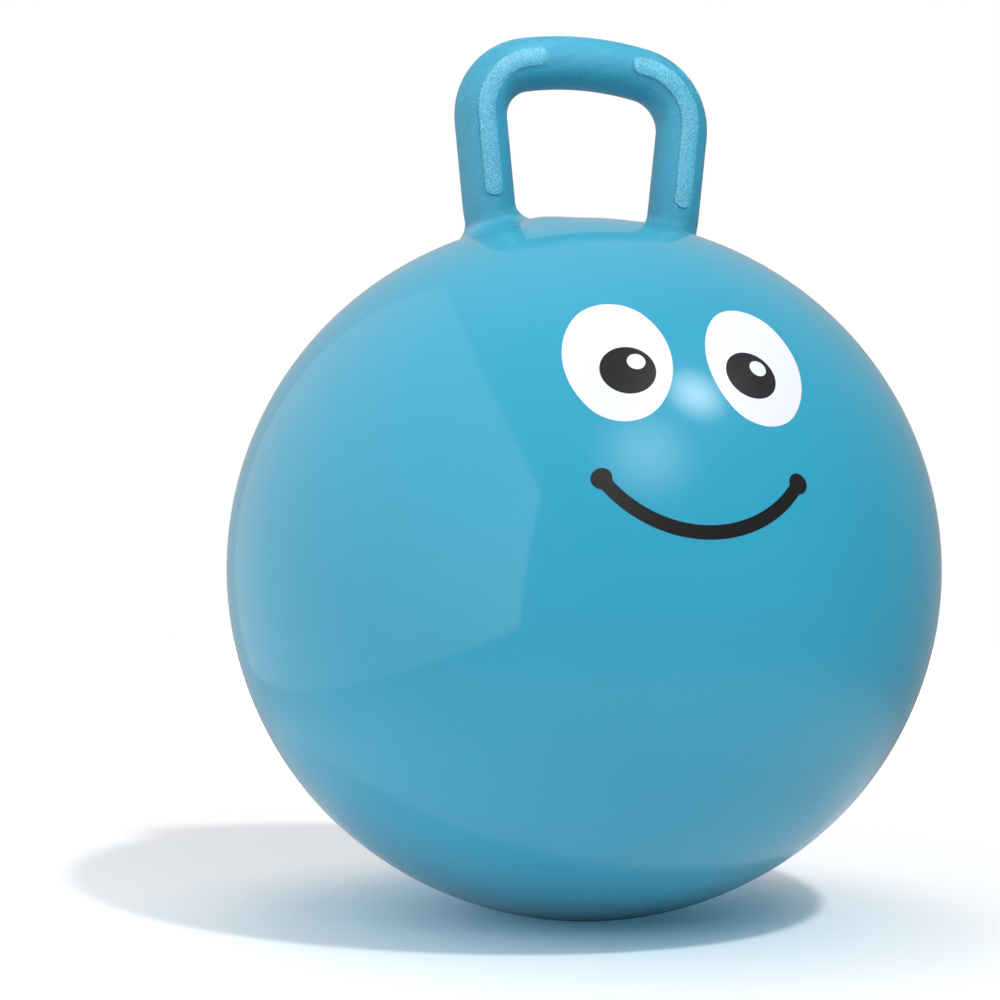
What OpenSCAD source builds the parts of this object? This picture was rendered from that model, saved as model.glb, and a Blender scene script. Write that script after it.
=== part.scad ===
// Children's hopper ball: an inflated PVC ball with a looped grab handle moulded on its crown,
// a pull-out stopper in a soft valve between the handle's feet, and a screen-printed smile.
// The ball's axis is +Z, it rests on z = 0, and the printed front faces -Y.

/* [Ball] */
// Width of the inflated ball
ball_d = 450; // [400:5:500]
// How much less tall than wide the ball is before it is set down
ball_squat = 7; // [4:0.5:12]
// Thickness of the moulded skin
skin_t = 1.2; // [1:0.1:2.5]
// How much of the ball is flattened into the patch that it rests on
patch_depth = 2.5; // [1.5:0.1:4]

/* [Handle] */
// Thickness of the handle's tube
grip_d = 34; // [28:1:38]
// Wall of the handle's tube
grip_wall = 2.5; // [1.5:0.1:4]
// Height of the handle's top above the ball's crown
handle_rise = 125; // [115:1:140]
// Distance between the centres of the feet, along the chord of the ball
foot_gap = 117; // [106:1:130]
// Outward lean of each leg, in degrees
leg_lean = 6; // [2:0.5:9]
// Radius of each shoulder, on the tube's centre line
shoulder_r = 36; // [28:1:42]
// Radius of the gently arched top bar, on the tube's centre line
arch_r = 200; // [170:5:260]
// Straight stretch between the top bar's arch and each shoulder
top_straight = 4; // [2:0.5:8]
// Radius of the fillet round each foot
foot_fillet = 12; // [6:1:16]
// Radius of the slight bend that turns each leg square to the ball
ankle_r = 60; // [40:5:80]

/* [Grip pads] */
// Width of a raised grip pad, seen from the front
pad_w = 12; // [6:0.5:16]
// How far a pad stands out of the tube
pad_h = 0.6; // [0.3:0.1:1.2]
// How far a pad's edges run on to the arched top bar, before its round tip
pad_reach = 0.5; // [0.5:0.5:12]
// Clear length of leg between a foot's ankle bend and its pad
pad_foot_gap = 1; // [0.5:0.5:12]

/* [Valve] */
// Width of the valve's barrel in the skin
barrel_d = 19; // [17:0.5:24]
// Length of the barrel, down from the ball's crown
barrel_h = 11; // [8:0.5:16]
// Width of the flange that is bonded under the skin
flange_d = 34; // [28:1:44]
// Thickness of that flange
flange_t = 2; // [1.5:0.1:3]
// Width of the bore that takes the stopper and the pump's nozzle
bore_d = 7.5; // [6:0.1:9]
// Width of the stopper's head
head_d = 14; // [11:0.2:15]
// Depth of the recess that the head sits in
recess_h = 1.8; // [1.2:0.1:2.4]
// How far the domed head stands above the ball's crown
head_dome = 0.9; // [0.5:0.1:1.5]
// Length of the stopper's tip below the barrel
tip_h = 3; // [2:0.5:5]
// Width of the stopper's tip at its end
tip_d = 5; // [3.5:0.1:5.5]
// Clearance between the head and its recess, at the side
head_clear = 0.3; // [0.2:0.05:0.6]
// Clearance between the stopper's stem and the bore, at the side
stem_clear = 0.05; // [0.02:0.01:0.1]

/* [Print] */
// Thickness of the printed ink
ink_t = 0.2; // [0.1:0.05:0.4]
// Height of the print's centre above the ball's waist, in degrees round the ball
face_tilt = 24; // [15:1:30]
// Width of an eye
eye_w = 58; // [44:1:64]
// Height of an eye
eye_h = 78; // [66:1:90]
// Distance between the eyes' centres
eye_gap = 78; // [72:1:90]
// Height of the eyes' centres above the print's centre
eye_rise = 18; // [8:1:26]
// Width of a pupil
pupil_d = 30; // [20:1:36]
// How far a pupil sits below its eye's centre
pupil_drop = 8; // [0:1:14]
// How far a pupil sits inwards of its eye's centre
pupil_in = 4; // [0:0.5:8]
// Width of the glint in a pupil
glint_d = 10; // [6:0.5:12]
// Radius of the smile, on the stroke's centre line
smile_r = 66; // [50:1:76]
// Half the angle that the smile spans, in degrees
smile_half = 56; // [35:1:65]
// Thickness of the smile's stroke
smile_w = 7; // [5:0.5:8.5]
// Width of the dots that end the smile
smile_dot = 11; // [9:0.5:15]
// Height of the smile's lowest point below the print's centre
smile_drop = 80; // [72:1:90]

/* [Hidden] */
$fn = 96;
$grow = 0;
sky = "#4db0d3";
pale = "#eef3f4";
ink = "#141414";

// Segments round the ball, whose facets would otherwise be thicker than the ink
ball_fn = 256;
// Overrun of every cut past the face that it opens
over = 1;
// Thickness of the thin edge where a foot's fillet runs out on the ball
fillet_edge = 0.2;
// How much thicker the handle's straight stretches and feet are than its bends, which leaves a
// clean seam where they meet
seam = 0.05;
// The centres of an oval's arcs are the corners of triangles with sides 3, 4 and 5 times a unit,
// so that its arcs meet exactly. The unit is this share of its half length less its half width
oval_share = 1 / 2;
// How far a glint sits up and to the right in its pupil
glint_share = 0.17;

// The ball's upright section is an oval of four arcs. Its flatter cap arcs have their centres
// cap_drop beyond the middle, and a radius of cap_r
cap_drop = 4 * oval_unit(ball_d / 2, (ball_d - ball_squat) / 2);
cap_r = (ball_d - ball_squat) / 2 + cap_drop;
// Heights of the ball's middle, of its crown and of the upper cap's centre, above the floor
mid_z = (ball_d - ball_squat) / 2 - patch_depth;
crown_z = mid_z + (ball_d - ball_squat) / 2;
cap_z = mid_z - cap_drop;
far = 2 * ball_d;

// Each foot stands square to the ball, on a line from the upper cap's centre. Its fillet is an
// arc that touches the tube at the foot's top and runs out on the ball
tube_r = grip_d / 2;
foot_angle = asin(foot_gap / 2 / cap_r);
fillet_x = tube_r + seam + foot_fillet;
foot_top = sqrt(pow(cap_r + foot_fillet, 2) - pow(fillet_x, 2));
foot_h = foot_top - cap_r * foot_top / (cap_r + foot_fillet);
edge_in = sqrt(2 * fillet_edge / (1 / foot_fillet + 1 / cap_r));
foot_rim = cap_r * fillet_x / (cap_r + foot_fillet) - edge_in;
// The ankle bend turns the foot's line into the leg's line, which leans by leg_lean
ankle_turn = foot_angle - leg_lean;
knee_r = foot_top + ankle_r * tan(ankle_turn / 2);
knee = [knee_r * sin(foot_angle), cap_z + knee_r * cos(foot_angle)];
// The shoulder is tangent to the leg's line and to the arched top bar
arch_z = crown_z + handle_rise - tube_r - arch_r;
leg_out = [cos(leg_lean), -sin(leg_lean)];
arch_half = leg_lean - atan2(top_straight, arch_r - shoulder_r) + asin(
    (leg_out * (knee - [0, arch_z]) - shoulder_r) / norm([arch_r - shoulder_r, top_straight]));
shoulder_turn = 90 + leg_lean - arch_half;
shoulder = [0, arch_z] + (arch_r - shoulder_r) * [sin(arch_half), cos(arch_half)]
    + top_straight * [cos(arch_half), -sin(arch_half)];
leg_len = (shoulder - knee) * [sin(leg_lean), cos(leg_lean)] - ankle_r * tan(ankle_turn / 2);
// Where a pad's round ends are centred, on the top bar and on the leg
pad_top = arch_half - pad_reach / arch_r * 180 / PI;
pad_leg = leg_len - pad_foot_gap - pad_w / 2;

function oval_unit(a, b) = oval_share * (a - b);

// The right half of an oval of half length a and half width b, lying along X and drawn in by inset
// all round. Its end arc is centred at 3 units along it, and its side arcs 4 units across it
module half_oval(a, b, inset = 0) {
    // A sector with its corner at c, from direction p to direction q
    module sector(c, r, p, q)
        intersection() {
            translate(c) circle(r);
            polygon([c, c + 2 * r * p, c + 2 * r * q]);
        }
    unit = oval_unit(a, b);
    meet = [3, 4] / 5;
    sector([0, -4 * unit], b + 4 * unit - inset, [0, 1], meet);
    sector([3 * unit, 0], a - 3 * unit - inset, meet, [meet.x, -meet.y]);
    sector([0, 4 * unit], b + 4 * unit - inset, [meet.x, -meet.y], [0, -1]);
}

// Half a disc, on the +X side
module half_disc(d)
    intersection() {
        circle(d = d);
        translate([0, -d]) square([d, 2 * d]);
    }

// The ball as a solid, drawn in by inset all over, with its flat patch
module ball_form(inset)
    difference() {
        translate([0, 0, mid_z]) rotate_extrude($fn = ball_fn)
            half_oval(ball_d / 2, (ball_d - ball_squat) / 2, inset, $fn = ball_fn);
        translate([0, 0, inset - ball_d / 2]) cube(ball_d, center = true);
    }

// The right half of the handle's centre line is a chain of places, each set from the one before,
// so that its stretches meet exactly. The handle lies in each place's XY plane, front side up
module at_top_bar() translate([0, 0, arch_z]) rotate([90, 0, 0]) children();
module at_pad_top() at_top_bar() rotate(-pad_top) translate([0, arch_r]) children();
module at_top_end() at_top_bar() rotate(-arch_half) translate([0, arch_r]) children();
module at_shoulder() at_top_end() translate([top_straight, -shoulder_r]) children();
module at_leg() at_shoulder() rotate(-shoulder_turn) translate([0, shoulder_r]) children();
module at_pad_end() at_leg() translate([pad_leg, 0]) children();
module at_ankle() at_leg() translate([leg_len, -ankle_r]) children();
module at_ankle_end() at_ankle() rotate(-ankle_turn) children();
// The top of a foot, whose +Z points up the leg
module at_foot() at_ankle_end() translate([0, ankle_r]) rotate([0, -90, 0]) children();

// Everything past the YZ plane of a place, or everything before it
module ahead() translate([0, -far / 2, -far / 2]) cube(far);
module behind() mirror([1, 0, 0]) ahead();

// A whole ring or a straight length of the section that is passed in, whose +X points outwards
module ring(bend_r) rotate_extrude() translate([bend_r, 0]) children();
module straight(length) rotate([90, 0, 90]) linear_extrude(length) children();

// Half the handle as a bar, without its foot. It has the second section that is passed in where
// its pads are, and the first one elsewhere. The sections grow by $grow on the straight stretches
module half_bar() {
    intersection() {
        at_top_bar() ring(arch_r) children(0);
        at_top_bar() ahead();
        at_pad_top() behind();
    }
    intersection() {
        at_top_bar() ring(arch_r) children(1);
        at_pad_top() ahead();
        at_top_end() behind();
    }
    at_top_end() straight(top_straight) children(1, $grow = seam);
    intersection() {
        at_shoulder() ring(shoulder_r) children(1);
        at_shoulder() ahead();
        at_leg() behind();
    }
    at_leg() straight(pad_leg) children(1, $grow = seam);
    at_pad_end() straight(leg_len - pad_leg) children(0, $grow = seam);
    intersection() {
        at_ankle() ring(ankle_r) children(0);
        at_ankle() ahead();
        at_ankle_end() behind();
    }
}

// The tube's section, of radius r, and the same with its two raised pads, at the front and back
module tube(r) circle(r + $grow);
module padded_tube() {
    tube(tube_r);
    intersection() {
        tube(tube_r + pad_h);
        square([pad_w + 2 * $grow, grip_d + 4 * pad_h], center = true);
    }
}

// The pads' round ends, on the top bar and on the leg
module pad_ends() {
    module round_end() linear_extrude(grip_d + 4 * pad_h, center = true) half_disc(pad_w - 2 * seam);
    intersection() {
        at_top_bar() ring(arch_r) tube(tube_r + pad_h);
        at_pad_top() mirror([1, 0, 0]) round_end();
    }
    intersection() {
        at_leg() straight(leg_len) tube(tube_r + pad_h, $grow = seam);
        at_pad_end() round_end();
    }
}

// A foot and its fillet, which stand on the ball
module foot_form()
    at_foot() rotate_extrude() difference() {
        translate([0, -foot_h]) square([foot_rim, foot_h]);
        translate([fillet_x, 0]) circle(foot_fillet);
        translate([0, -foot_top]) circle(cap_r, $fn = ball_fn);
    }

// The air passage from the ball up into a leg
module foot_bore() {
    bore_len = foot_top - cap_r + skin_t + foot_fillet;
    at_foot() translate([0, 0, -bore_len]) cylinder(h = bore_len, r = tube_r - grip_wall + seam);
}

module both_sides() for (side = [0, 1]) mirror([side, 0, 0]) children();

module ball_skin()
    color(sky) difference() {
        ball_form(0);
        ball_form(skin_t);
        both_sides() foot_bore();
        translate([0, 0, crown_z - barrel_h]) cylinder(h = barrel_h + over, d = barrel_d);
    }

module handle()
    color(sky) both_sides() difference() {
        union() {
            half_bar() {
                tube(tube_r);
                padded_tube();
            }
            pad_ends();
            foot_form();
        }
        half_bar() {
            tube(tube_r - grip_wall);
            tube(tube_r - grip_wall);
        }
        foot_bore();
    }

module valve_seat() {
    // How far the skin's inside falls away at the flange's rim
    rim_drop = cap_r - sqrt(pow(cap_r, 2) - pow(flange_d / 2, 2));
    flange_h = skin_t + rim_drop + flange_t;
    color(pale) difference() {
        union() {
            intersection() {
                translate([0, 0, crown_z - barrel_h]) cylinder(h = barrel_h, d = barrel_d);
                ball_form(0);
            }
            intersection() {
                translate([0, 0, crown_z - flange_h]) cylinder(h = flange_h, d = flange_d);
                ball_form(skin_t);
            }
        }
        translate([0, 0, crown_z - recess_h]) cylinder(h = recess_h + over, d = head_d + 2 * head_clear);
        translate([0, 0, crown_z - barrel_h - over]) cylinder(h = barrel_h + over, d = bore_d);
    }
}

module valve_stopper() {
    stem_d = bore_d - 2 * stem_clear;
    dome_r = (pow(head_d / 2, 2) + pow(head_dome, 2)) / (2 * head_dome);
    color(pale) {
        intersection() {
            translate([0, 0, crown_z + head_dome - dome_r]) sphere(dome_r);
            translate([0, 0, crown_z - recess_h]) cylinder(h = recess_h + head_dome, d = head_d);
        }
        translate([0, 0, crown_z - barrel_h]) cylinder(h = barrel_h, d = stem_d);
        translate([0, 0, crown_z - barrel_h - tip_h]) cylinder(h = tip_h, d1 = tip_d, d2 = stem_d);
    }
}

// A layer of ink on the skin, in the shape of the flat drawing that is passed in. The drawing's
// +Y points up the ball, and it is laid on from the front at face_tilt above the waist
module ink_layer()
    difference() {
        intersection() {
            ball_form(-ink_t);
            translate([0, 0, mid_z]) rotate([90 - face_tilt, 0, 0])
                translate([0, 0, ball_d / 4]) linear_extrude(ball_d / 2) children();
        }
        ball_form(0);
    }

module at_eyes() for (side = [-1, 1]) translate([side * eye_gap / 2, eye_rise]) children();
module at_pupils()
    for (side = [-1, 1]) translate([side * (eye_gap / 2 - pupil_in), eye_rise - pupil_drop]) children();
module eye_shape() rotate(90) for (side = [0, 1]) mirror([side, 0]) half_oval(eye_h / 2, eye_w / 2);
module pupils() at_pupils() circle(d = pupil_d);
module glints() at_pupils() translate(glint_share * [pupil_d, pupil_d]) circle(d = glint_d);

// One stroke of even width that ends in dots
module smile()
    translate([0, smile_r - smile_drop]) {
        intersection() {
            difference() {
                circle(smile_r + smile_w / 2);
                circle(smile_r - smile_w / 2);
            }
            polygon([[0, 0], 2 * smile_r * [sin(smile_half), -cos(smile_half)],
                2 * smile_r * [-sin(smile_half), -cos(smile_half)]]);
        }
        for (side = [0, 1]) mirror([side, 0])
            rotate(smile_half) translate([0, -smile_r]) circle(d = smile_dot);
    }

module face_print_white()
    color(pale) {
        ink_layer() difference() {
            at_eyes() eye_shape();
            pupils();
        }
        ink_layer() glints();
    }

module face_print_black()
    color(ink) {
        ink_layer() difference() {
            pupils();
            glints();
        }
        ink_layer() smile();
    }

ball_skin();
handle();
valve_seat();
valve_stopper();
face_print_white();
face_print_black();
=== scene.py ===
from math import acos, asin, atan2, cos, degrees, hypot, pi, radians, sin, sqrt

import bmesh
import bpy
from mathutils import Matrix, Vector, noise


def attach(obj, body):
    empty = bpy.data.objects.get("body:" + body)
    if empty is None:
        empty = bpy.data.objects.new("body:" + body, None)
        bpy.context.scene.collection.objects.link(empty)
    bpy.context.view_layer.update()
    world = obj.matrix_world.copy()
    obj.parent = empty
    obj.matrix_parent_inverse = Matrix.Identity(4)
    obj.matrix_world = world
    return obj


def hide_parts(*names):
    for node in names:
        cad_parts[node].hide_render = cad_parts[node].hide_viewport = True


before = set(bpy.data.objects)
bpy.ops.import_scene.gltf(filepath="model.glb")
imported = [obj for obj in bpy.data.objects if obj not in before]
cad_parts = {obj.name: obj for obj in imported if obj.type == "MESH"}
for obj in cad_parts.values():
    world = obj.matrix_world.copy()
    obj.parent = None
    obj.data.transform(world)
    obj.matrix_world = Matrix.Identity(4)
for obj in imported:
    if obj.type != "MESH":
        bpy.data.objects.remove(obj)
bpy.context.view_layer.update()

# Camera
# It stands about a metre off, a little to the left of the printed front and just below the
# ball's middle, and looks slightly up. The picture is square.
camera_data = bpy.data.cameras.new("camera")
camera_data.sensor_width = 36
camera_data.lens = 61.43
camera = bpy.data.objects.new("camera", camera_data)
bpy.context.collection.objects.link(camera)
camera_right = Vector((0.9688339, -0.2476070, 0.0071854))
camera_up = Vector((-0.0230175, -0.0611051, 0.9978659))
camera_back = camera_right.cross(camera_up).normalized()
camera.matrix_world = Matrix.Translation((-0.32208, -1.05140, 0.19021)) @ Matrix(
    (camera_right, camera_up, camera_back)).transposed().to_4x4()
bpy.context.scene.camera = camera
bpy.context.scene.view_settings.view_transform = "Standard"


# Studio paper
# A sheet of white background paper, which the ball stands on. It takes the ball's shadow, and
# further off the camera sees it lifted to the white of the background.
def linear(colour):
    """The linear colour of an sRGB hex value."""
    parts = [int(colour[at:at + 2], 16) / 255 for at in (1, 3, 5)]
    return [c / 12.92 if c <= 0.04045 else ((c + 0.055) / 1.055) ** 2.4 for c in parts] + [1]


def add_node(tree, kind, settings={}, inputs={}):
    """Adds a node with its settings, and sets or links its inputs."""
    node = tree.nodes.new("ShaderNode" + kind)
    for name, value in settings.items():
        setattr(node, name, value)
    for name, value in inputs.items():
        if isinstance(value, bpy.types.NodeSocket):
            tree.links.new(value, node.inputs[name])
        else:
            node.inputs[name].default_value = value
    return node


def bare_material(name):
    """A material with an empty node tree."""
    material = bpy.data.materials.new(name)
    material.use_nodes = True
    material.node_tree.nodes.clear()
    return material, material.node_tree


PAPER_R = 9

# White paper is quite matt, so it shows no mirror image of the ball, only its shadow
paper, tree = bare_material("matt_white_paper")
# Fibres of a tenth of a millimetre are drawn 2.5 mm apart, so that they show
fibre = add_node(tree, "TexNoise", inputs={
    "Vector": add_node(tree, "TexCoord").outputs["Object"], "Scale": 400.0, "Detail": 3.0})
bump = add_node(tree, "Bump", inputs={
    "Height": fibre.outputs["Fac"], "Strength": 0.1, "Distance": 0.0001})
ray = add_node(tree, "LightPath")
# The camera sees the paper a shade whiter than the light that it throws back up on the ball
pale = add_node(tree, "Mix", {"data_type": "RGBA"}, {
    "Factor": ray.outputs["Is Camera Ray"], 6: linear("#eceef0"), 7: linear("#f0f1f2")})
sheet = add_node(tree, "BsdfPrincipled", inputs={
    "Base Color": pale.outputs[2], "Roughness": 0.8, "Specular IOR Level": 0.2,
    "Normal": bump.outputs["Normal"]})
gloss = add_node(tree, "Math", {"operation": "MAXIMUM"}, {
    0: ray.outputs["Is Glossy Ray"], 1: ray.outputs["Is Transmission Ray"]})
# Past the lamps' reach the paper would turn grey, so it is lifted more the further off it lies,
# in full for the camera and by a tenth for gloss
seen = add_node(tree, "Math", {"operation": "MULTIPLY_ADD"}, {
    0: gloss.outputs[0], 1: 0.1, 2: ray.outputs["Is Camera Ray"]})
far_off = add_node(tree, "VectorMath", {"operation": "LENGTH"}, {
    0: add_node(tree, "TexCoord").outputs["Object"]})
lift_far = add_node(tree, "MapRange", {"interpolation_type": "SMOOTHSTEP"}, {
    "Value": far_off.outputs["Value"], "From Min": 0.3, "From Max": 2.2,
    "To Min": 0.14, "To Max": 0.9})
lift_by = add_node(tree, "Math", {"operation": "MULTIPLY"}, {
    0: seen.outputs[0], 1: lift_far.outputs["Result"]})
# Close round the ball the paper's lift turns the ball's blue: painted blue light, for the light
# that the ball throws back on the paper
painted_bounce_reach = add_node(tree, "MapRange", {"interpolation_type": "SMOOTHSTEP"}, {
    "Value": far_off.outputs["Value"], "From Min": 0.10, "From Max": 0.27})
glow = add_node(tree, "Mix", {"data_type": "RGBA"}, {
    "Factor": painted_bounce_reach.outputs["Result"], 6: linear("#70d8ff"), 7: linear("#ffffff")})
lift = add_node(tree, "Emission", inputs={
    "Color": glow.outputs[2], "Strength": lift_by.outputs[0]})
both = add_node(tree, "AddShader", inputs={0: sheet.outputs[0], 1: lift.outputs[0]})
# For light and gloss the paper fades out further off, so that no edge of it shows on the ball
sooner = add_node(tree, "Math", {"operation": "MULTIPLY_ADD"}, {
    0: gloss.outputs[0], 1: 2.5, 2: 1.0})
reach = add_node(tree, "Math", {"operation": "MULTIPLY"}, {
    0: far_off.outputs["Value"], 1: sooner.outputs[0]})
clear = add_node(tree, "MapRange", {"interpolation_type": "SMOOTHSTEP"}, {
    "Value": reach.outputs[0], "From Min": 0.5, "From Max": 2.4, "To Min": 0.0, "To Max": 1.0})
unseen = add_node(tree, "Math", {"operation": "SUBTRACT", "use_clamp": True}, {
    0: clear.outputs["Result"], 1: ray.outputs["Is Camera Ray"]})
fading = add_node(tree, "MixShader", inputs={
    0: unseen.outputs[0], 1: both.outputs[0], 2: add_node(tree, "BsdfTransparent").outputs[0]})
add_node(tree, "OutputMaterial", inputs={"Surface": fading.outputs[0]})

bm = bmesh.new()
bmesh.ops.create_circle(bm, cap_ends=True, segments=96, radius=PAPER_R)
floor_mesh = bpy.data.meshes.new("floor")
bm.to_mesh(floor_mesh)
bm.free()
floor_mesh.materials.append(paper)
floor = bpy.data.objects.new("floor", floor_mesh)
bpy.context.collection.objects.link(floor)

# Studio light
# A white room, brighter behind, above and to the left of the ball, and a long white softbox close
# on its left. Two cloth-covered lamps in front give the ball its highlight and the glow beside it,
# and two bare ones, whose own image doesn't show on the ball, throw the shadows on the paper.
world = bpy.data.worlds.new("white_room")
world.use_nodes = True
bpy.context.scene.world = world
tree = world.node_tree
tree.nodes.clear()
back_left = add_node(tree, "VectorMath", {"operation": "DOT_PRODUCT"}, {
    0: add_node(tree, "TexCoord").outputs["Generated"], 1: (-0.40, 0.75, 0.50)})
room = add_node(tree, "MapRange", {"interpolation_type": "SMOOTHSTEP"}, {
    "Value": back_left.outputs["Value"], "From Min": -0.6, "From Max": 0.95,
    "To Min": 0.15, "To Max": 0.55})
ray = add_node(tree, "LightPath")
room_light = add_node(tree, "Background", inputs={
    "Color": linear("#f9f8fa"), "Strength": room.outputs["Result"]})
white = add_node(tree, "Background", inputs={"Color": (1, 1, 1, 1), "Strength": 1.0})
seen_room = add_node(tree, "MixShader", inputs={
    0: ray.outputs["Is Camera Ray"], 1: room_light.outputs[0], 2: white.outputs[0]})
add_node(tree, "OutputWorld", inputs={"Surface": seen_room.outputs[0]})


def add_lamp(name, shape, width, power, matrix):
    """An area lamp of that shape, placed by matrix, which the camera doesn't see itself."""
    data = bpy.data.lights.new(name, "AREA")
    data.shape = shape
    data.size = width
    data.energy = power
    lamp = bpy.data.objects.new(name, data)
    lamp.matrix_world = matrix
    lamp.visible_camera = False
    bpy.context.collection.objects.link(lamp)
    return lamp


def aim_lamp(name, width, power, place, aim=(0, 0, 0.22)):
    """A round area lamp that shines on the middle of the ball, or where it is aimed."""
    turned = (Vector(aim) - Vector(place)).to_track_quat("-Z", "Y").to_matrix().to_4x4()
    return add_lamp(name, "DISK", width, power, Matrix.Translation(place) @ turned)


# The softbox stands with its back along the product of its long and its short way, and so shines
# the other way, at the ball
long_way = Vector((-0.4548, -1.8318, -0.3310)).normalized()
short_way = Vector((0.0212, -0.3669, 1.0162))
short_way = (short_way - short_way.dot(long_way) * long_way).normalized()
softbox = add_lamp("softbox", "RECTANGLE", 2.87, 15.0, Matrix.Translation((-0.853, -0.567, 0.52))
    @ Matrix((long_way, short_way, long_way.cross(short_way))).transposed().to_4x4())
softbox.data.size_y = 1.62
# It is brightest at its front end
softbox.data.use_nodes = True
tree = softbox.data.node_tree
along = add_node(tree, "SeparateXYZ", inputs={
    "Vector": add_node(tree, "NewGeometry").outputs["Parametric"]})
fall_off = add_node(tree, "MapRange", inputs={
    "Value": along.outputs["X"], "To Min": 0.25, "To Max": 1.35})
tree.links.new(fall_off.outputs["Result"], tree.nodes["Emission"].inputs["Strength"])
# Each of these two shines through a cloth that is brightest in the middle
for name, width, power, place in (
        ("front_lamp", 0.70, 5.0, (0.60, -1.15, 1.60)),
        ("glow_lamp", 1.20, 4.8, (0.10, -1.64, 1.20))):
    soft_lamp = aim_lamp(name, width, power, place)
    soft_lamp.data.use_nodes = True
    tree = soft_lamp.data.node_tree
    across = add_node(tree, "VectorMath", {"operation": "DISTANCE"}, {
        0: add_node(tree, "NewGeometry").outputs["Parametric"], 1: (0.5, 0.5, 0)})
    cloth = add_node(tree, "MapRange", {"interpolation_type": "SMOOTHSTEP"}, {
        "Value": across.outputs["Value"], "From Min": 0.0, "From Max": 0.5,
        "To Min": 2.6, "To Max": 0.0})
    tree.links.new(cloth.outputs["Result"], tree.nodes["Emission"].inputs["Strength"])
# The shadow to the left comes from the front right, the one under the ball from above
for name, width, power, place in (
        ("shadow_lamp", 0.20, 42.0, (0.57, -1.65, 2.52)),
        ("top_lamp", 1.10, 7.5, (-0.10, 0.35, 2.00))):
    bare_lamp = aim_lamp(name, width, power, place)
    bare_lamp.visible_glossy = False


# Ball skin
# The inflated ball: one seamless skin of soft PVC, moulded 1.2 mm thick. Air pressure holds it
# round, a little flatter than wide, and its own weight flattens the patch that it rests on.
BALL_HOLE = 0.0095
CAP_R, CAP_Z = 0.2285, 0.212
WAIST_R, WAIST_IN, WAIST_Z = 0.21975, 0.00525, 0.219
PATCH_DEPTH, RIM_ROUND = 0.0025, 0.006
SKIN = 0.0012
# Between the handle's feet the crown is drawn up level, by 2 mm at most. This comes in beside the
# valve, and goes out again over the fillets and towards the front and back
LEVEL_SHARE = 0.6
LEVEL_IN, LEVEL_OUT, LEVEL_SIDE = (0.011, 0.030), (0.038, 0.056), (0.050, 0.085)


def bend_on(bm, geom, centre, turn, steps):
    """Spins geom about the Y axis through centre, by turn in degrees, and returns its far end."""
    return bmesh.ops.spin(bm, geom=geom, cent=centre, axis=(0, 1, 0), angle=radians(turn),
        steps=steps)["geom_last"]


def smooth_step(value, low, high):
    """Rises smoothly from 0 at low to 1 at high."""
    share = min(1, max(0, (value - low) / (high - low)))
    return share * share * (3 - 2 * share)


def level_crown(bm, over=None):
    """Raises the crown between the handle's feet. Where over is given, what stands above the crown
    is raised less, and from that height up not at all."""
    for v in bm.verts:
        x, y = abs(v.co.x), abs(v.co.y)
        if v.co.z < CAP_Z or x > LEVEL_OUT[1] or y > LEVEL_SIDE[1]:
            continue
        share = smooth_step(x, *LEVEL_IN) * (1 - smooth_step(x, *LEVEL_OUT))
        share *= LEVEL_SHARE * (1 - smooth_step(y, *LEVEL_SIDE))
        if over:
            above = (v.co - Vector((0, 0, CAP_Z))).length - CAP_R
            share *= 1 - smooth_step(above, 0, over)
        v.co.z += share * (CAP_R - sqrt(CAP_R ** 2 - x ** 2))


def spin_whole(bm, steps):
    """Turns the profile in bm right round the Z axis and closes its seam and poles."""
    bmesh.ops.spin(bm, geom=bm.verts[:] + bm.edges[:], cent=(0, 0, 0), axis=(0, 0, 1),
        angle=2 * pi, steps=steps, use_merge=True)
    bmesh.ops.remove_doubles(bm, verts=bm.verts, dist=1e-6)
    bmesh.ops.recalc_face_normals(bm, faces=bm.faces)


def finish_piece(bm, name, material, body, sharp):
    """Makes the mesh bm an object of that material, which rides on body. It is shaded smooth, but
    for edges of more than sharp degrees, or as it is where sharp is None."""
    mesh = bpy.data.meshes.new(name)
    bm.to_mesh(mesh)
    bm.free()
    if sharp:
        mesh.shade_smooth()
        mesh.set_sharp_from_angle(angle=radians(sharp))
    mesh.materials.append(material)
    piece = bpy.data.objects.new(name, mesh)
    bpy.context.collection.objects.link(piece)
    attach(piece, body)
    return piece


def dyed_blue(tree, place):
    """The PVC's even sky blue. The dye wanders slightly over patches about 150 mm across."""
    clouds = add_node(tree, "TexNoise", inputs={"Vector": place, "Scale": 7.0, "Detail": 2.0})
    return add_node(tree, "Mix", {"data_type": "RGBA"}, {
        "Factor": clouds.outputs["Fac"], 6: linear("#2c9bba"), 7: linear("#34a3c2")}).outputs[2]


# Soft PVC from a polished mould: a wet gloss over a softer sheen, so lamps show as a sharp shape
# with a wide glow round it
glossy_pvc, tree = bare_material("glossy_moulded_pvc")
place = add_node(tree, "TexCoord").outputs["Object"]
# The skin's sheen varies in streaks about 25 mm long
sheen = add_node(tree, "TexNoise", inputs={"Vector": place, "Scale": 40.0, "Detail": 3.0})
dull = add_node(tree, "MapRange", inputs={
    "Value": sheen.outputs["Fac"], "To Min": 0.36, "To Max": 0.46})
# The stretched skin ripples by a few hundredths of a millimetre, every 9 mm or so
ripple = add_node(tree, "TexNoise", inputs={"Vector": place, "Scale": 110.0, "Detail": 1.0})
bump = add_node(tree, "Bump", inputs={
    "Height": ripple.outputs["Fac"], "Strength": 0.15, "Distance": 0.0002})
shader = add_node(tree, "BsdfPrincipled", inputs={
    "Base Color": dyed_blue(tree, place), "Roughness": dull.outputs["Result"], "IOR": 1.53,
    "Specular IOR Level": 0.2, "Coat Weight": 0.75, "Coat Roughness": 0.08, "Coat IOR": 1.5,
    "Normal": bump.outputs["Normal"]})
add_node(tree, "OutputMaterial", inputs={"Surface": shader.outputs[0]})

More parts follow.
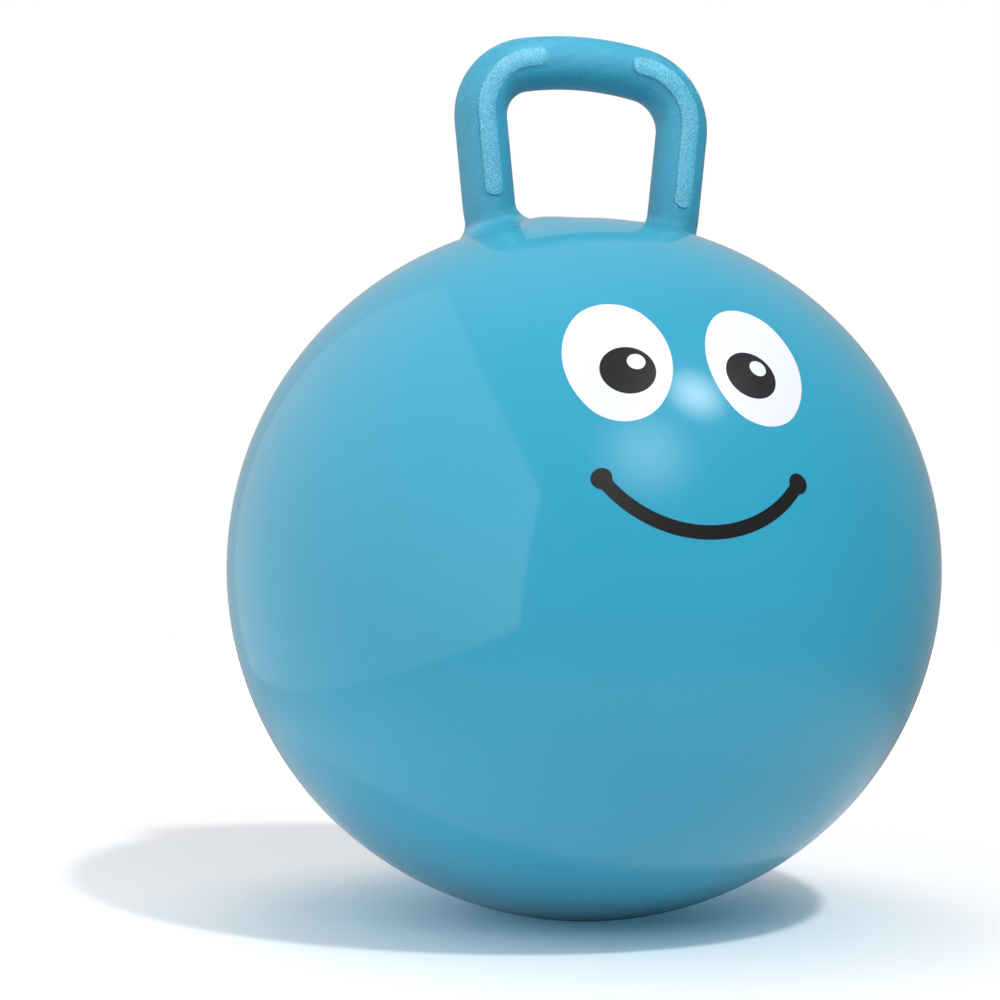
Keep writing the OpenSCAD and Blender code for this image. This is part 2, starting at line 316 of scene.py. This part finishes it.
# The profile runs from the valve's hole over the crown, round the waist and in to the patch
bm = bmesh.new()
hole_turn = degrees(asin(BALL_HOLE / CAP_R))
cap_turn = degrees(atan2(3, 4))
patch_z = CAP_R - PATCH_DEPTH
patch_turn = degrees(atan2(sqrt(CAP_R ** 2 - patch_z ** 2), patch_z))
end = [bm.verts.new((BALL_HOLE, 0, CAP_Z + sqrt(CAP_R ** 2 - BALL_HOLE ** 2)))]
end = bend_on(bm, end, (0, 0, CAP_Z), cap_turn - hole_turn, 24)
end = bend_on(bm, end, (WAIST_IN, 0, WAIST_Z), 180 - 2 * cap_turn, 64)
end = bend_on(bm, end, (0, 0, 2 * WAIST_Z - CAP_Z), cap_turn - patch_turn, 20)
rim = [v for v in end if isinstance(v, bmesh.types.BMVert)][0]
centre = bmesh.ops.extrude_vert_indiv(bm, verts=[rim])["verts"][0]
centre.co = (0, 0, rim.co.z)
patch_r = rim.co.x
spin_whole(bm, 256)
level_crown(bm)
rim_edges = [e for e in bm.edges
    if all(abs(v.co.z) < 1e-4 and abs(hypot(v.co.x, v.co.y) - patch_r) < 1e-4 for v in e.verts)]
bmesh.ops.bevel(bm, geom=rim_edges, offset=RIM_ROUND, segments=4, profile=0.5,
    affect="EDGES", material=-1)
ball_skin = finish_piece(bm, "ball", glossy_pvc, "ball", 60)
wall = ball_skin.modifiers.new("wall", "SOLIDIFY")
wall.thickness = SKIN
wall.offset = -1
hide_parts("ball_skin")

# Handle
# The grab handle is moulded in one with the ball, from the same soft PVC. A round tube arches
# over, turns down at two shoulders, bends square to the ball and spreads into it in a fillet.
TUBE_R = 0.017
FILLET_R = 0.016
FOOT_SUNK = 0.0008
ARCH = (0.200, 10.0746, 8)
TOP_STRAIGHT = (0, 0.004, 2)
SHOULDER = (0.036, 85.9254, 40)
LEG = (0, 0.053932, 10)
ANKLE = (0.060, 8.8339, 8)
ARCH_CENTRE = Vector((0, 0, 0.3485))


def onward(heading):
    """The handle's direction where it has turned down by heading degrees from +X."""
    return Vector((cos(radians(heading)), 0, -sin(radians(heading))))


def inward(heading):
    """The direction square to the handle there, towards the inside of its bends."""
    return onward(heading + 90)


def sweep(bm, section, place, heading, stretches):
    """Draws a section along stretches of the handle's centre line, and gives its end after each.
    A stretch is (bend radius, turn, steps), or (0, length, steps) where it is straight."""
    for bend, amount, steps in stretches:
        if bend:
            centre = place + bend * inward(heading)
            section = bend_on(bm, section, centre, amount, steps)
            heading += amount
            place = centre - bend * inward(heading)
        else:
            section = bmesh.ops.spin(bm, geom=section, cent=(0, 0, 0), axis=(0, 1, 0), angle=0,
                dvec=onward(heading) * amount / steps, steps=steps)["geom_last"]
            place = place + amount * onward(heading)
        yield section, place, heading


# The same PVC, but from a sand-blasted mould above the feet: a fine matt grain, which spreads the
# light and looks a little deeper in colour. The fillets are as glossy as the ball
grained_pvc, tree = bare_material("grained_moulded_pvc")
place = add_node(tree, "TexCoord").outputs["Object"]
from_ball = add_node(tree, "VectorMath", {"operation": "DISTANCE"}, {0: place, 1: (0, 0, CAP_Z)})
# The grain fades in between 6 and 9 mm above the ball
grain_mask = add_node(tree, "MapRange", {"interpolation_type": "SMOOTHSTEP"}, {
    "Value": from_ball.outputs["Value"], "From Min": CAP_R + 0.006, "From Max": CAP_R + 0.009})
deep = add_node(tree, "Mix", {"data_type": "RGBA"}, {
    "Factor": grain_mask.outputs["Result"], 6: dyed_blue(tree, place), 7: linear("#2896b4")})
# Grains of 0.3 mm are drawn 1.2 mm apart, so that they show
grain = add_node(tree, "TexNoise", inputs={
    "Vector": place, "Scale": 800.0, "Detail": 2.0, "Roughness": 0.6})
fade = add_node(tree, "Math", {"operation": "MULTIPLY"}, {
    0: grain.outputs["Fac"], 1: grain_mask.outputs["Result"]})
bump = add_node(tree, "Bump", inputs={
    "Height": fade.outputs[0], "Strength": 0.9, "Distance": 0.0011})
dull = add_node(tree, "MapRange", inputs={
    "Value": grain_mask.outputs["Result"], "To Min": 0.4, "To Max": 0.37})
coat = add_node(tree, "MapRange", inputs={
    "Value": grain_mask.outputs["Result"], "To Min": 0.75, "To Max": 0.0})
shader = add_node(tree, "BsdfPrincipled", inputs={
    "Base Color": deep.outputs[2], "Roughness": dull.outputs["Result"], "IOR": 1.53,
    "Specular IOR Level": 0.75, "Coat Weight": coat.outputs["Result"], "Coat Roughness": 0.08,
    "Coat IOR": 1.5, "Normal": bump.outputs["Normal"]})
add_node(tree, "OutputMaterial", inputs={"Surface": shader.outputs[0]})

bm = bmesh.new()
place = ARCH_CENTRE + Vector((0, 0, ARCH[0]))
bmesh.ops.create_circle(bm, segments=96, radius=TUBE_R,
    matrix=Matrix.Translation(place) @ Matrix.Rotation(radians(90), 4, "Y"))
*_, (section, place, heading) = sweep(bm, bm.verts[:] + bm.edges[:], place, 0,
    [ARCH, TOP_STRAIGHT, SHOULDER, LEG, ANKLE])
# The foot runs straight on into the ball, in rings that crowd together where its fillet is flat.
# The last ring lies inside the skin
fillet_z = sqrt((CAP_R + FILLET_R) ** 2 - (TUBE_R + FILLET_R) ** 2)
run_out = acos((TUBE_R + FILLET_R) / (CAP_R + FILLET_R))
foot_axis = -onward(heading)
height = (place - Vector((0, 0, CAP_Z))).length
first = asin((fillet_z - height) / FILLET_R)
drops = [FILLET_R * sin(first + (run_out - first) * step / 16) for step in range(1, 17)]
for drop in drops + [drops[-1] + FOOT_SUNK]:
    down = height - (fillet_z - drop)
    section = bmesh.ops.spin(bm, geom=section, cent=(0, 0, 0), axis=(0, 1, 0), angle=0,
        dvec=-down * foot_axis, steps=1)["geom_last"]
    height -= down
bmesh.ops.edgeloop_fill(bm, edges=[e for e in section if isinstance(e, bmesh.types.BMEdge)])
# The fillet: rings below its top are drawn out from the foot's axis, till they lie on the ball
for v in bm.verts:
    arm = v.co - Vector((0, 0, CAP_Z))
    drop = fillet_z - arm.dot(foot_axis)
    out = (arm - arm.dot(foot_axis) * foot_axis).normalized()
    if drop > 0:
        v.co += (FILLET_R - sqrt(FILLET_R ** 2 - min(drop, drops[-1]) ** 2)) * out
bmesh.ops.mirror(bm, geom=bm.verts[:] + bm.edges[:] + bm.faces[:], axis="X", merge_dist=1e-5)
bmesh.ops.remove_doubles(bm, verts=bm.verts, dist=1e-6)
bmesh.ops.recalc_face_normals(bm, faces=bm.faces)
level_crown(bm, over=0.020)
handle = finish_piece(bm, "grab_handle", grained_pvc, "ball", 60)
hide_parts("handle")

# Grip pads
# Four raised pads, moulded in one with the handle, follow each shoulder at the front and back. A
# coarse pebbled grain, cut into the mould, keeps small hands from slipping.
PAD_W = 0.012
PAD_RISE = 0.0008
PAD_EDGE = 0.0004
PAD_SUNK, PAD_BACK = 0.0003, 0.0012
PEBBLE_W, PEBBLE_H = 0.0014, 0.0004
# How far a pebble slopes up from its groove, as a share of its width, and how much of its height
# lies below the pad's own surface
SLOPE_SHARE, LOW_SHARE = 0.45, 0.4
PAD_START = 9.9314
PAD_LEG = 0.046932

# The pads' PVC is a little smoother than the handle's, so each pebble of the grain catches the
# lamps
pebbled_pvc, tree = bare_material("pebbled_moulded_pvc")
place = add_node(tree, "TexCoord").outputs["Object"]
# Specks about 1 mm across roughen the pebbles
speck = add_node(tree, "TexNoise", inputs={"Vector": place, "Scale": 900.0, "Detail": 2.0})
# The tops of the pebbles are painted paler, a painted sheen, and the grooves and the pad's edge
# darker, a painted shade
painted_sheen_and_shade = add_node(tree, "Attribute", {"attribute_name": "painted_sheen_and_shade"})
blue = add_node(tree, "Mix", {"data_type": "RGBA"}, {
    "Factor": painted_sheen_and_shade.outputs["Fac"], 6: linear("#187396"), 7: linear("#68c6de")})
bump = add_node(tree, "Bump", inputs={
    "Height": speck.outputs["Fac"], "Strength": 0.4, "Distance": 0.0002})
shader = add_node(tree, "BsdfPrincipled", inputs={
    "Base Color": blue.outputs[2], "Roughness": 0.3, "IOR": 1.53, "Specular IOR Level": 0.7,
    "Normal": bump.outputs["Normal"]})
add_node(tree, "OutputMaterial", inputs={"Surface": shader.outputs[0]})

tip = PAD_W / 2
tip_turn = degrees(tip / ARCH[0])
start = PAD_START - tip_turn
pad_half = degrees(asin(tip / (TUBE_R + PAD_RISE)))
# The pad runs along the handle in rows about 0.3 mm apart, so that the pebbles show in its mesh
stretches = []
for bend, amount, steps in ((ARCH[0], ARCH[1] - start, 18), (0, TOP_STRAIGHT[1], 11),
        (SHOULDER[0], SHOULDER[1], 150), (0, PAD_LEG + tip, 148)):
    stretches += [(bend, amount / steps, 1)] * steps
grip = bpy.data.collections.new("grip")
grip.objects.link(handle)
for side, across, front, facing in (("left", -1, "front", -1), ("right", 1, "front", -1),
        ("left", -1, "back", 1), ("right", 1, "back", 1)):
    bm = bmesh.new()
    painted_sheen_and_shade = bm.verts.layers.float.new("painted_sheen_and_shade")
    place = ARCH_CENTRE - ARCH[0] * inward(start)
    corner = bm.verts.new(place + Matrix.Rotation(radians(-pad_half), 3, onward(start))
        @ Vector((0, -TUBE_R, 0)))
    bmesh.ops.spin(bm, geom=[corner], cent=place, axis=onward(start),
        angle=radians(2 * pad_half), steps=36)
    section = bm.verts[:] + bm.edges[:]
    rows = [(bm.verts[:], place, start, 0)]
    run = 0
    for (bend, amount, _), (section, place, heading) in zip(stretches,
            sweep(bm, section, place, start, stretches)):
        run += radians(amount) * bend if bend else amount
        verts = [v for v in section if isinstance(v, bmesh.types.BMVert)]
        rows.append((verts, place, heading, run))
    # Each row is drawn in at the round ends, and its points rise over the rounded edge to the grain
    for verts, place, heading, at in rows:
        end_in = max(0, tip - at, at - (run - tip)) / tip
        narrow = sqrt(max(0, 1 - end_in ** 2))
        for v in verts:
            arm = v.co - place
            lean = atan2(arm.dot(inward(heading)), -arm.y) * narrow
            edge = tip - hypot((TUBE_R + PAD_RISE) * sin(lean), end_in * tip)
            rise = min(1, max(0, edge) / PAD_EDGE)
            way_out = sin(lean) * inward(heading) - Vector((0, cos(lean), 0))
            out = place + TUBE_R * way_out
            spot = Vector((out.x * across, -out.y * facing, out.z))
            near, next_near = noise.voronoi(spot / PEBBLE_W)[0][:2]
            pebble = min(1, (next_near - near) / SLOPE_SHARE)
            height = -PAD_SUNK + (PAD_RISE + PAD_SUNK) * sqrt(1 - (1 - rise) ** 2)
            height += PEBBLE_H * rise * (pebble * (2 - pebble) - LOW_SHARE)
            # Painted sheen and shade: pale on the pebbles' tops, dark in their grooves and at the
            # pad's edge
            v[painted_sheen_and_shade] = rise * (0.25 + 0.75 * pebble)
            v.co = place + (TUBE_R + height) * way_out
    bmesh.ops.scale(bm, vec=(across, -facing, 1), verts=bm.verts)
    bmesh.ops.remove_doubles(bm, verts=bm.verts, dist=1e-6)
    bmesh.ops.recalc_face_normals(bm, faces=bm.faces)
    # An open sheet can come out of this facing inwards
    bm.faces.ensure_lookup_table()
    if bm.faces[len(bm.faces) // 2].normal.y * facing < 0:
        bmesh.ops.reverse_faces(bm, faces=bm.faces)
    pad = finish_piece(bm, "grip_pad_" + front + "_" + side, pebbled_pvc, "ball", 80)
    body = pad.modifiers.new("body", "SOLIDIFY")
    body.thickness = PAD_BACK
    body.offset = -1
    body.use_even_offset = False
    grip.objects.link(pad)
# A narrow lamp above the camera draws a sheen along the handle and its pads alone
grip_lamp = aim_lamp("grip_lamp", 0.12, 0.055, (-0.10, -0.92, 1.18), (0, 0, 0.555))
grip_lamp.data.spread = radians(16)
grip_lamp.light_linking.receiver_collection = grip

# Valve seat
# A soft white PVC valve, bonded under the skin at the crown between the handle's feet: a barrel
# with a flange, a recess for the stopper's head, and the bore that the pump's nozzle fits.
CROWN = CAP_Z + CAP_R
BARREL_R, BARREL_H = 0.0095, 0.011
BORE_R = 0.00375
FLANGE_R, FLANGE_T = 0.017, 0.002
RECESS_R, RECESS_H = 0.0073, 0.0018
SEAT_ROUND = 0.0002

# Soft white PVC: milky and slightly see-through at its edges, with a low moulded gloss
white_pvc, tree = bare_material("white_moulded_pvc")
place = add_node(tree, "TexCoord").outputs["Object"]
# Small moulding marks, about 2 mm across
marks = add_node(tree, "TexNoise", inputs={"Vector": place, "Scale": 450.0, "Detail": 2.0})
milky = add_node(tree, "Mix", {"data_type": "RGBA"}, {
    "Factor": marks.outputs["Fac"], 6: linear("#e2e8ea"), 7: linear("#f0f4f5")})
dull = add_node(tree, "MapRange", inputs={
    "Value": marks.outputs["Fac"], "To Min": 0.28, "To Max": 0.42})
bump = add_node(tree, "Bump", inputs={
    "Height": marks.outputs["Fac"], "Strength": 0.1, "Distance": 0.0001})
shader = add_node(tree, "BsdfPrincipled", inputs={
    "Base Color": milky.outputs[2], "Roughness": dull.outputs["Result"], "IOR": 1.53,
    "Subsurface Weight": 0.15, "Subsurface Radius": (0.002, 0.002, 0.002),
    "Normal": bump.outputs["Normal"]})
add_node(tree, "OutputMaterial", inputs={"Surface": shader.outputs[0]})


def draw_profile(bm, points):
    """Joins (radius, height) points by straight edges, and returns their vertices."""
    verts = [bm.verts.new((r, 0, z)) for r, z in points]
    for a, b in zip(verts, verts[1:]):
        bm.edges.new((a, b))
    return verts


def round_rings(bm, offset, rings):
    """Rounds the ring-shaped edges at these (radius, height) places."""
    edges = [e for e in bm.edges
        if any(all(hypot(hypot(v.co.x, v.co.y) - r, v.co.z - z) < 1e-5 for v in e.verts)
            for r, z in rings)]
    bmesh.ops.bevel(bm, geom=edges, offset=offset, segments=3, profile=0.5, affect="EDGES",
        material=-1)


def on_cap(radius, inset=0):
    """The height of the ball's upper cap at that radius, drawn in by inset."""
    return CAP_Z + sqrt((CAP_R - inset) ** 2 - radius ** 2)


bm = bmesh.new()
flange_low = on_cap(FLANGE_R, SKIN) - FLANGE_T
seat = [(BORE_R, CROWN - BARREL_H), (BORE_R, CROWN - RECESS_H), (RECESS_R, CROWN - RECESS_H),
    (RECESS_R, on_cap(RECESS_R)), (BARREL_R, on_cap(BARREL_R)), (BARREL_R, on_cap(BARREL_R, SKIN)),
    (FLANGE_R, on_cap(FLANGE_R, SKIN)), (FLANGE_R, flange_low), (BARREL_R, flange_low),
    (BARREL_R, CROWN - BARREL_H)]
seat_verts = draw_profile(bm, seat)
bm.edges.new((seat_verts[-1], seat_verts[0]))
spin_whole(bm, 96)
round_rings(bm, SEAT_ROUND, seat)
valve_seat = finish_piece(bm, "valve", white_pvc, "ball", 50)
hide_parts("valve_seat")

# Valve stopper
# The stopper is one moulding of the same white PVC. Its stem plugs the bore, and its domed head
# fills the recess and stands just above the ball, where a fingernail lifts it.
HEAD_R, HEAD_RISE = 0.007, 0.0009
STEM_R = 0.0037
TIP_R, TIP_H = 0.0025, 0.003
STOPPER_ROUND = 0.0003

bm = bmesh.new()
dome_r = (HEAD_R ** 2 + HEAD_RISE ** 2) / (2 * HEAD_RISE)
tip_low = CROWN - BARREL_H - TIP_H
stem = [(0, tip_low), (TIP_R, tip_low), (STEM_R, CROWN - BARREL_H), (STEM_R, CROWN - RECESS_H),
    (HEAD_R, CROWN - RECESS_H), (HEAD_R, CROWN)]
head_edge = draw_profile(bm, stem)[-1]
bend_on(bm, [head_edge], (0, 0, CROWN + HEAD_RISE - dome_r), -degrees(asin(HEAD_R / dome_r)), 10)
spin_whole(bm, 96)
round_rings(bm, STOPPER_ROUND, stem[1:])
stopper = finish_piece(bm, "stopper", white_pvc, "stopper", 50)
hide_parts("valve_stopper")

# Printed smile
# A plain smile, screen-printed on the front in white and black ink before the ball leaves the
# factory: two oval eyes with pupils and glints, and one curved stroke that ends in dots.
PRINT_TILT = 24
INK, FILM = 0.00015, 0.0002
EYE_X, EYE_Y = 0.039, 0.018
EYE_END_R, EYE_END_IN = 0.024, 0.015
EYE_SIDE_R, EYE_SIDE_IN = 0.049, 0.020
PUPIL_R, PUPIL_X, PUPIL_Y = 0.015, 0.035, 0.010
GLINT_R, GLINT_OFF = 0.005, 0.0051
SMILE_R, SMILE_Y, SMILE_HALF = 0.066, -0.014, 56
STROKE, DOT_R = 0.007, 0.0055


def lay_on_ball(bm):
    """Wraps a flat drawing on the front of the ball, straight back from a plane in front of it.
    Each point moves by its distance from the ball again and again, till it lies on it."""
    tilt = radians(PRINT_TILT)
    up, out = Vector((0, sin(tilt), cos(tilt))), Vector((0, -cos(tilt), sin(tilt)))
    for v in bm.verts:
        flat = Vector((v.co.x, 0, WAIST_Z)) + v.co.y * up
        reach = WAIST_R
        for _ in range(12):
            spot = flat + reach * out
            reach += WAIST_R + INK - hypot(hypot(spot.x, spot.y) - WAIST_IN, spot.z - WAIST_Z)
        v.co = flat + reach * out


def finish_print(bm, name, material):
    """Lays the drawing on the ball as a thin film of ink that is sunk a little into the skin."""
    lay_on_ball(bm)
    bmesh.ops.recalc_face_normals(bm, faces=bm.faces)
    bm.faces.ensure_lookup_table()
    if bm.faces[0].normal.y > 0:
        bmesh.ops.reverse_faces(bm, faces=bm.faces)
    for face in bm.faces:
        face.smooth = True
    for edge in bm.edges:
        edge.smooth = not edge.is_boundary
    film = finish_piece(bm, name, material, "ball", None)
    thickness = film.modifiers.new("film", "SOLIDIFY")
    thickness.thickness = FILM
    thickness.offset = -1
    return film


def wire_circle(bm, x, y, radius, segments):
    """A circle's edges."""
    verts = bmesh.ops.create_circle(bm, segments=segments, radius=radius,
        matrix=Matrix.Translation((x, y, 0)))["verts"]
    return list({e for v in verts for e in v.link_edges})


def wire_oval(bm, x, y):
    """An upright eye oval's edges, drawn round its four arcs."""
    half_side = atan2(3, 4)
    side_turn = 2 * degrees(half_side)
    end_turn = 180 - side_turn
    end = [bm.verts.new((x - EYE_SIDE_IN + EYE_SIDE_R * cos(half_side),
        y - EYE_SIDE_R * sin(half_side), 0))]
    for centre, turn, steps in (
            ((x - EYE_SIDE_IN, y, 0), side_turn, 24), ((x, y + EYE_END_IN, 0), end_turn, 36),
            ((x + EYE_SIDE_IN, y, 0), side_turn, 24), ((x, y - EYE_END_IN, 0), end_turn, 36)):
        end = bmesh.ops.spin(bm, geom=end, cent=centre, axis=(0, 0, 1), angle=radians(turn),
            steps=steps)["geom_last"]
    loop = [v for v in bm.verts if not v.link_faces and abs(v.co.x - x) < EYE_END_R + EYE_SIDE_IN
        and v.co.x * x > 0]
    bmesh.ops.remove_doubles(bm, verts=loop, dist=1e-6)
    return list({e for v in loop if v.is_valid for e in v.link_edges})


def fill_between(bm, outer, inner, cuts):
    """Fills the band between two loops, with extra rings so that it wraps smoothly."""
    band = bmesh.ops.bridge_loops(bm, edges=outer + inner)
    cross = [e for e in band["edges"] if e not in outer and e not in inner]
    bmesh.ops.subdivide_edges(bm, edges=cross, cuts=cuts, use_grid_fill=True)


# Screen-printing vinyl ink dries to a flat film with a satin gloss, and is dense enough that
# little blue shows through
def ink(name, dark, light):
    """Vinyl ink between two near shades, which vary over 3 mm as the mesh lets more or less
    through."""
    material, tree = bare_material(name)
    place = add_node(tree, "TexCoord").outputs["Object"]
    mesh_marks = add_node(tree, "TexNoise", inputs={"Vector": place, "Scale": 330.0, "Detail": 3.0})
    shade = add_node(tree, "Mix", {"data_type": "RGBA"}, {
        "Factor": mesh_marks.outputs["Fac"], 6: linear(dark), 7: linear(light)})
    dull = add_node(tree, "MapRange", inputs={
        "Value": mesh_marks.outputs["Fac"], "To Min": 0.30, "To Max": 0.40})
    shader = add_node(tree, "BsdfPrincipled", inputs={
        "Base Color": shade.outputs[2], "Roughness": dull.outputs["Result"], "IOR": 1.5,
        "Coat Weight": 0.6, "Coat Roughness": 0.08})
    add_node(tree, "OutputMaterial", inputs={"Surface": shader.outputs[0]})
    return material


bm = bmesh.new()
for side in (-1, 1):
    oval = wire_oval(bm, side * EYE_X, EYE_Y)
    pupil = wire_circle(bm, side * PUPIL_X, PUPIL_Y, PUPIL_R, 120)
    fill_between(bm, oval, pupil, 6)
    bmesh.ops.create_circle(bm, cap_ends=True, cap_tris=True, segments=48, radius=GLINT_R,
        matrix=Matrix.Translation((side * PUPIL_X + GLINT_OFF, PUPIL_Y + GLINT_OFF, 0)))
white_ink = ink("white_vinyl_ink", "#e4e9f1", "#eceff5")
white_print = finish_print(bm, "smile_white", white_ink)
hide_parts("face_print_white")

bm = bmesh.new()
for side in (-1, 1):
    pupil = wire_circle(bm, side * PUPIL_X, PUPIL_Y, PUPIL_R, 96)
    glint = wire_circle(bm, side * PUPIL_X + GLINT_OFF, PUPIL_Y + GLINT_OFF, GLINT_R, 96)
    fill_between(bm, pupil, glint, 3)
# The stroke is spun through its whole length, and each end swells to a dot
reach = radians(SMILE_HALF) + DOT_R / SMILE_R
first = [bm.verts.new((r * cos(-pi / 2 - reach), SMILE_Y + r * sin(-pi / 2 - reach), 0))
    for r in (SMILE_R - STROKE / 2, SMILE_R + STROKE / 2)]
cross = bm.edges.new(first)
before = {v for v in bm.verts if v not in first}
bmesh.ops.spin(bm, geom=first + [cross], cent=(0, SMILE_Y, 0), axis=(0, 0, 1),
    angle=2 * reach, steps=400)
stroke = [v for v in bm.verts if v not in before]
for v in stroke:
    x, y = v.co.x, v.co.y - SMILE_Y
    turn = atan2(x, -y)
    past = SMILE_R * (abs(turn) - radians(SMILE_HALF))
    half = sqrt(max(0, DOT_R ** 2 - past ** 2)) if past > -DOT_R else 0
    if past < 0:
        half = max(half, STROKE / 2)
    r = SMILE_R + (half if hypot(x, y) > SMILE_R else -half)
    v.co = (r * sin(turn), SMILE_Y - r * cos(turn), 0)
bmesh.ops.remove_doubles(bm, verts=stroke, dist=1e-6)
black_ink = ink("black_vinyl_ink", "#0f1013", "#17181c")
black_print = finish_print(bm, "smile_black", black_ink)
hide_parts("face_print_black")
